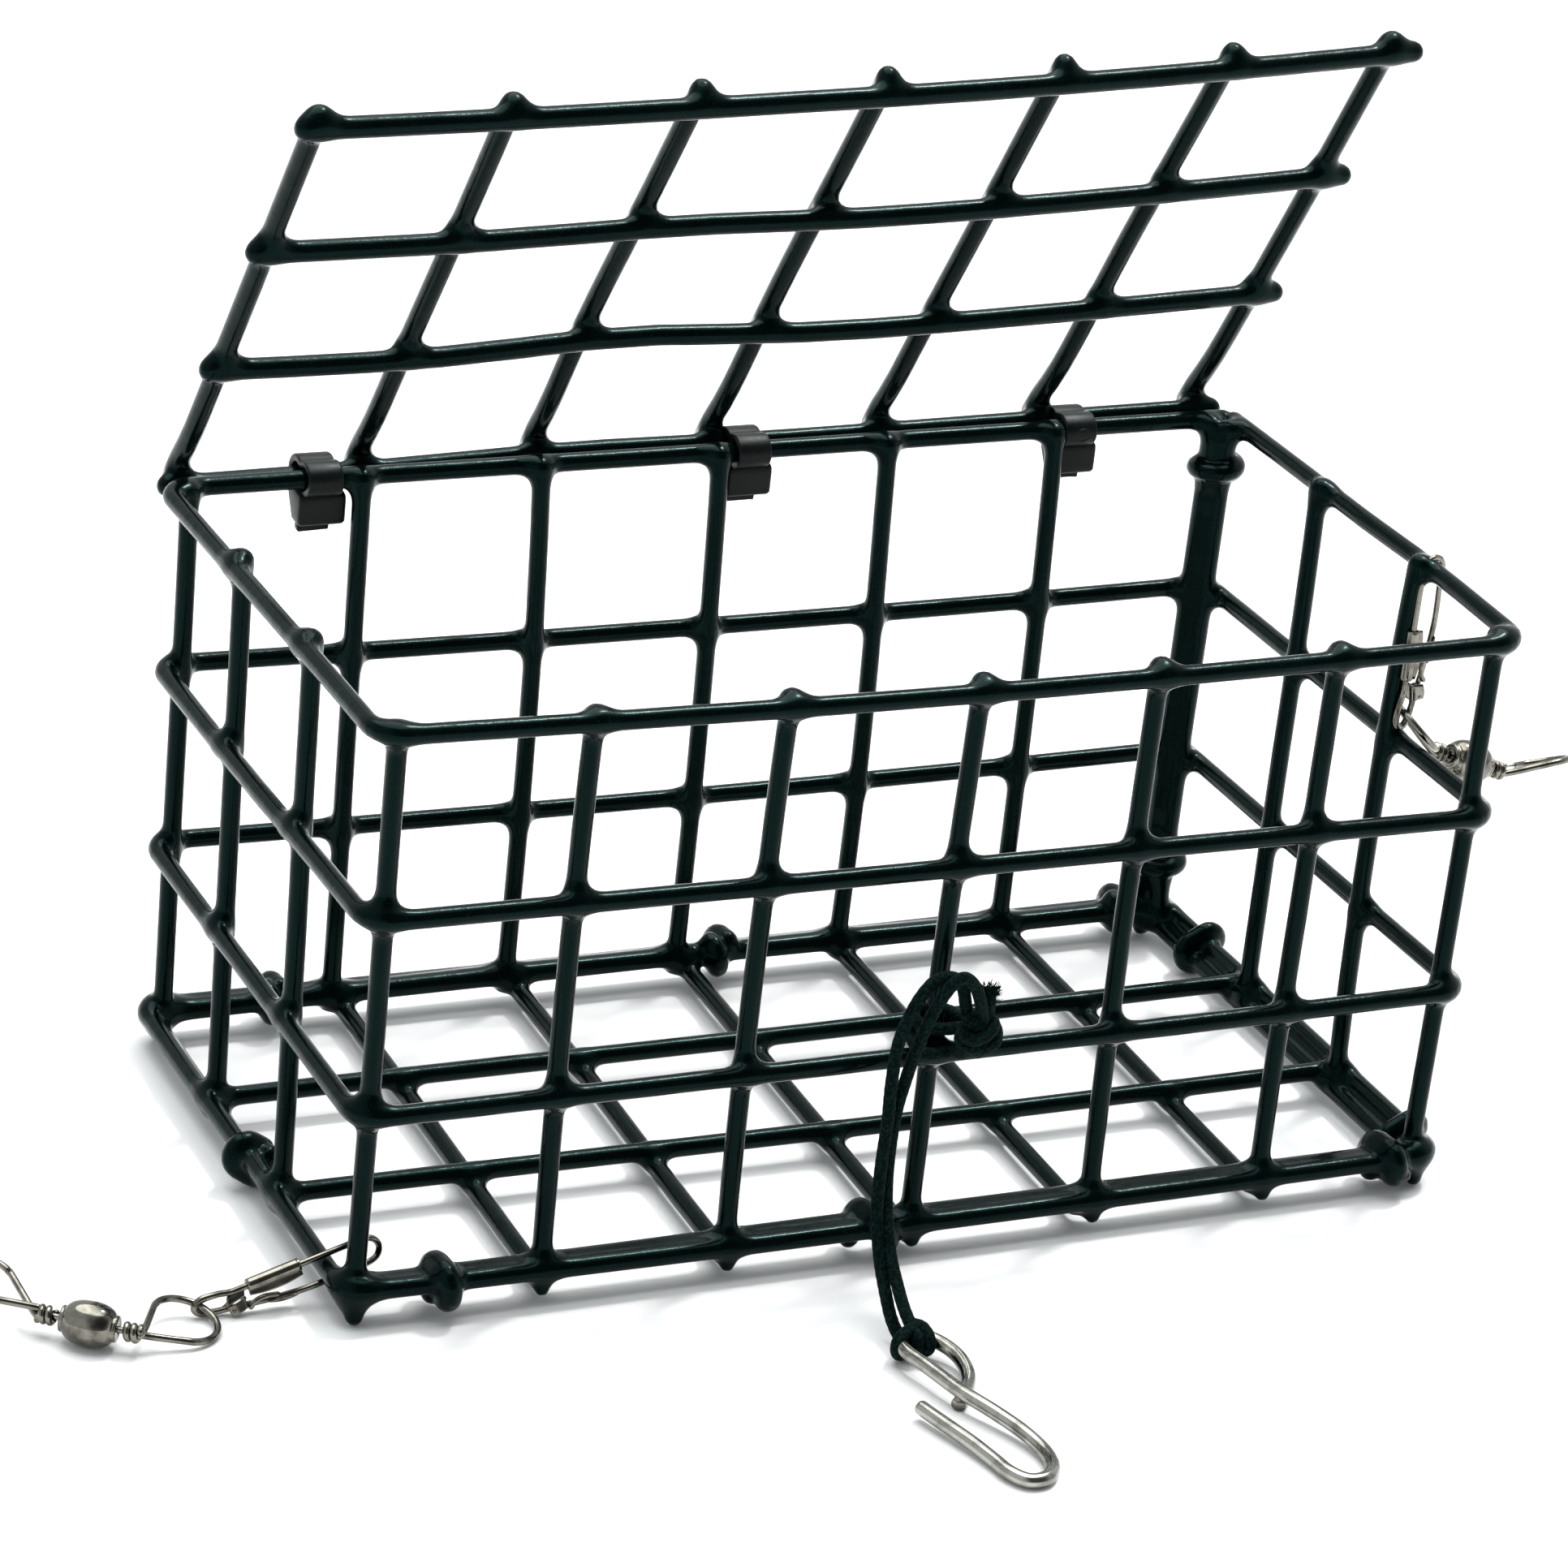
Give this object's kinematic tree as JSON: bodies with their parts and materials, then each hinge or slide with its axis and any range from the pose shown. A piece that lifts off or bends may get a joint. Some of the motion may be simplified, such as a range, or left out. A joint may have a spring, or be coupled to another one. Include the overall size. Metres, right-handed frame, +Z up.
{
  "type": "crab trap",
  "caption": "Small rectangular wire crab trap: a dipped wire cage with a hinged wire lid, cable-tie hinges, an elastic closing cord with a hook, and snap swivels on the ends.",
  "frame": {"origin": "middle of the cage's base, on the plane that its feet stand on", "axes": "+X along the cage to its right end, +Y from the front to the hinge side, +Z up"},
  "size_m": [0.2298, 0.1421, 0.1457],
  "materials": {
    "vinyl_wire": "steel wire dipped in thick glossy green-black vinyl",
    "tie_nylon": "satin black nylon",
    "elastic": "black braided elastic cord",
    "stainless": "drawn stainless wire",
    "black_nickel": "black nickel plate, slightly worn"
  },
  "bodies": {
    "cage": {"hoop_1": "vinyl_wire", "hoop_2": "vinyl_wire", "hoop_3": "vinyl_wire", "hoop_4": "vinyl_wire", "upright_1": "vinyl_wire", "upright_2": "vinyl_wire", "upright_3": "vinyl_wire", "upright_4": "vinyl_wire", "upright_5": "vinyl_wire", "upright_6": "vinyl_wire", "upright_7": "vinyl_wire", "upright_8": "vinyl_wire", "upright_9": "vinyl_wire", "upright_10": "vinyl_wire", "upright_11": "vinyl_wire", "upright_12": "vinyl_wire", "upright_13": "vinyl_wire", "upright_14": "vinyl_wire", "upright_15": "vinyl_wire", "upright_16": "vinyl_wire", "upright_17": "vinyl_wire", "upright_18": "vinyl_wire", "upright_19": "vinyl_wire", "floor_long_1": "vinyl_wire", "floor_long_2": "vinyl_wire", "floor_long_3": "vinyl_wire", "floor_long_4": "vinyl_wire", "floor_cross_1": "vinyl_wire", "floor_cross_2": "vinyl_wire", "floor_cross_3": "vinyl_wire", "floor_cross_4": "vinyl_wire", "floor_cross_5": "vinyl_wire", "floor_cross_6": "vinyl_wire", "floor_cross_7": "vinyl_wire", "hinge_ties": "tie_nylon", "panel_clips": "vinyl_wire", "elastic_cord": "elastic"},
    "lid": {"lid_long_1": "vinyl_wire", "lid_long_2": "vinyl_wire", "lid_long_3": "vinyl_wire", "lid_long_4": "vinyl_wire", "lid_cross_1": "vinyl_wire", "lid_cross_2": "vinyl_wire", "lid_cross_3": "vinyl_wire", "lid_cross_4": "vinyl_wire", "lid_cross_5": "vinyl_wire", "lid_cross_6": "vinyl_wire", "lid_cross_7": "vinyl_wire"},
    "hook": {"hook": "stainless"},
    "left_snap": {"snap_wire_left": "black_nickel", "snap_plate_left": "black_nickel"},
    "left_eye": {"snap_eye_left": "black_nickel"},
    "left_barrel": {"barrel_left": "black_nickel"},
    "left_line_eye": {"line_eye_left": "black_nickel"},
    "right_snap": {"snap_wire_right": "black_nickel", "snap_plate_right": "black_nickel"},
    "right_eye": {"snap_eye_right": "black_nickel"},
    "right_barrel": {"barrel_right": "black_nickel"},
    "right_line_eye": {"line_eye_right": "black_nickel"}
  },
  "joints": [
    {"name": "lid_hinge", "type": "hinge", "parent": "cage", "child": "lid", "pos_m": [0, 0.04261, 0.0784], "axis": [-1, 0, 0], "range_deg": [-52, 103]},
    {"name": "hook_lift", "type": "hinge", "parent": "cage", "child": "hook", "pos_m": [-0.0102, -0.0607, 0.0032], "axis": [-1, 0, 0], "range_deg": [0, 60]},
    {"name": "left_snap_swing", "type": "hinge", "parent": "cage", "child": "left_snap", "pos_m": [-0.07791, -0.0326, 0.0044], "axis": [0, 0, 1], "range_deg": [0, 35]},
    {"name": "left_eye_swing", "type": "hinge", "parent": "left_snap", "child": "left_eye", "pos_m": [-0.0934, -0.0326, 0.0016], "axis": [0, 0, 1], "range_deg": [-15, 15]},
    {"name": "left_barrel_spin", "type": "hinge", "parent": "left_eye", "child": "left_barrel", "pos_m": [-0.1075, -0.0352, 0.00285], "axis": [0.8, -0.6, 0], "continuous": true},
    {"name": "left_line_eye_spin", "type": "hinge", "parent": "left_barrel", "child": "left_line_eye", "pos_m": [-0.1075, -0.0352, 0.00285], "axis": [0.8, -0.6, 0], "continuous": true},
    {"name": "right_snap_swing", "type": "hinge", "parent": "cage", "child": "right_snap", "pos_m": [0.07791, -0.0156, 0.0788], "axis": [0, -1, 0], "range_deg": [0, 80]},
    {"name": "right_eye_swing", "type": "hinge", "parent": "right_snap", "child": "right_eye", "pos_m": [0.0768, -0.0163, 0.0586], "axis": [-0.2588, 0.9659, 0], "range_deg": [-25, 0]},
    {"name": "right_barrel_spin", "type": "hinge", "parent": "right_eye", "child": "right_barrel", "pos_m": [0.0912, -0.0115, 0.0482], "axis": [-0.9309, -0.0601, 0.3603], "continuous": true},
    {"name": "right_line_eye_spin", "type": "hinge", "parent": "right_barrel", "child": "right_line_eye", "pos_m": [0.0912, -0.0115, 0.0482], "axis": [-0.9309, -0.0601, 0.3603], "continuous": true}
  ]
}
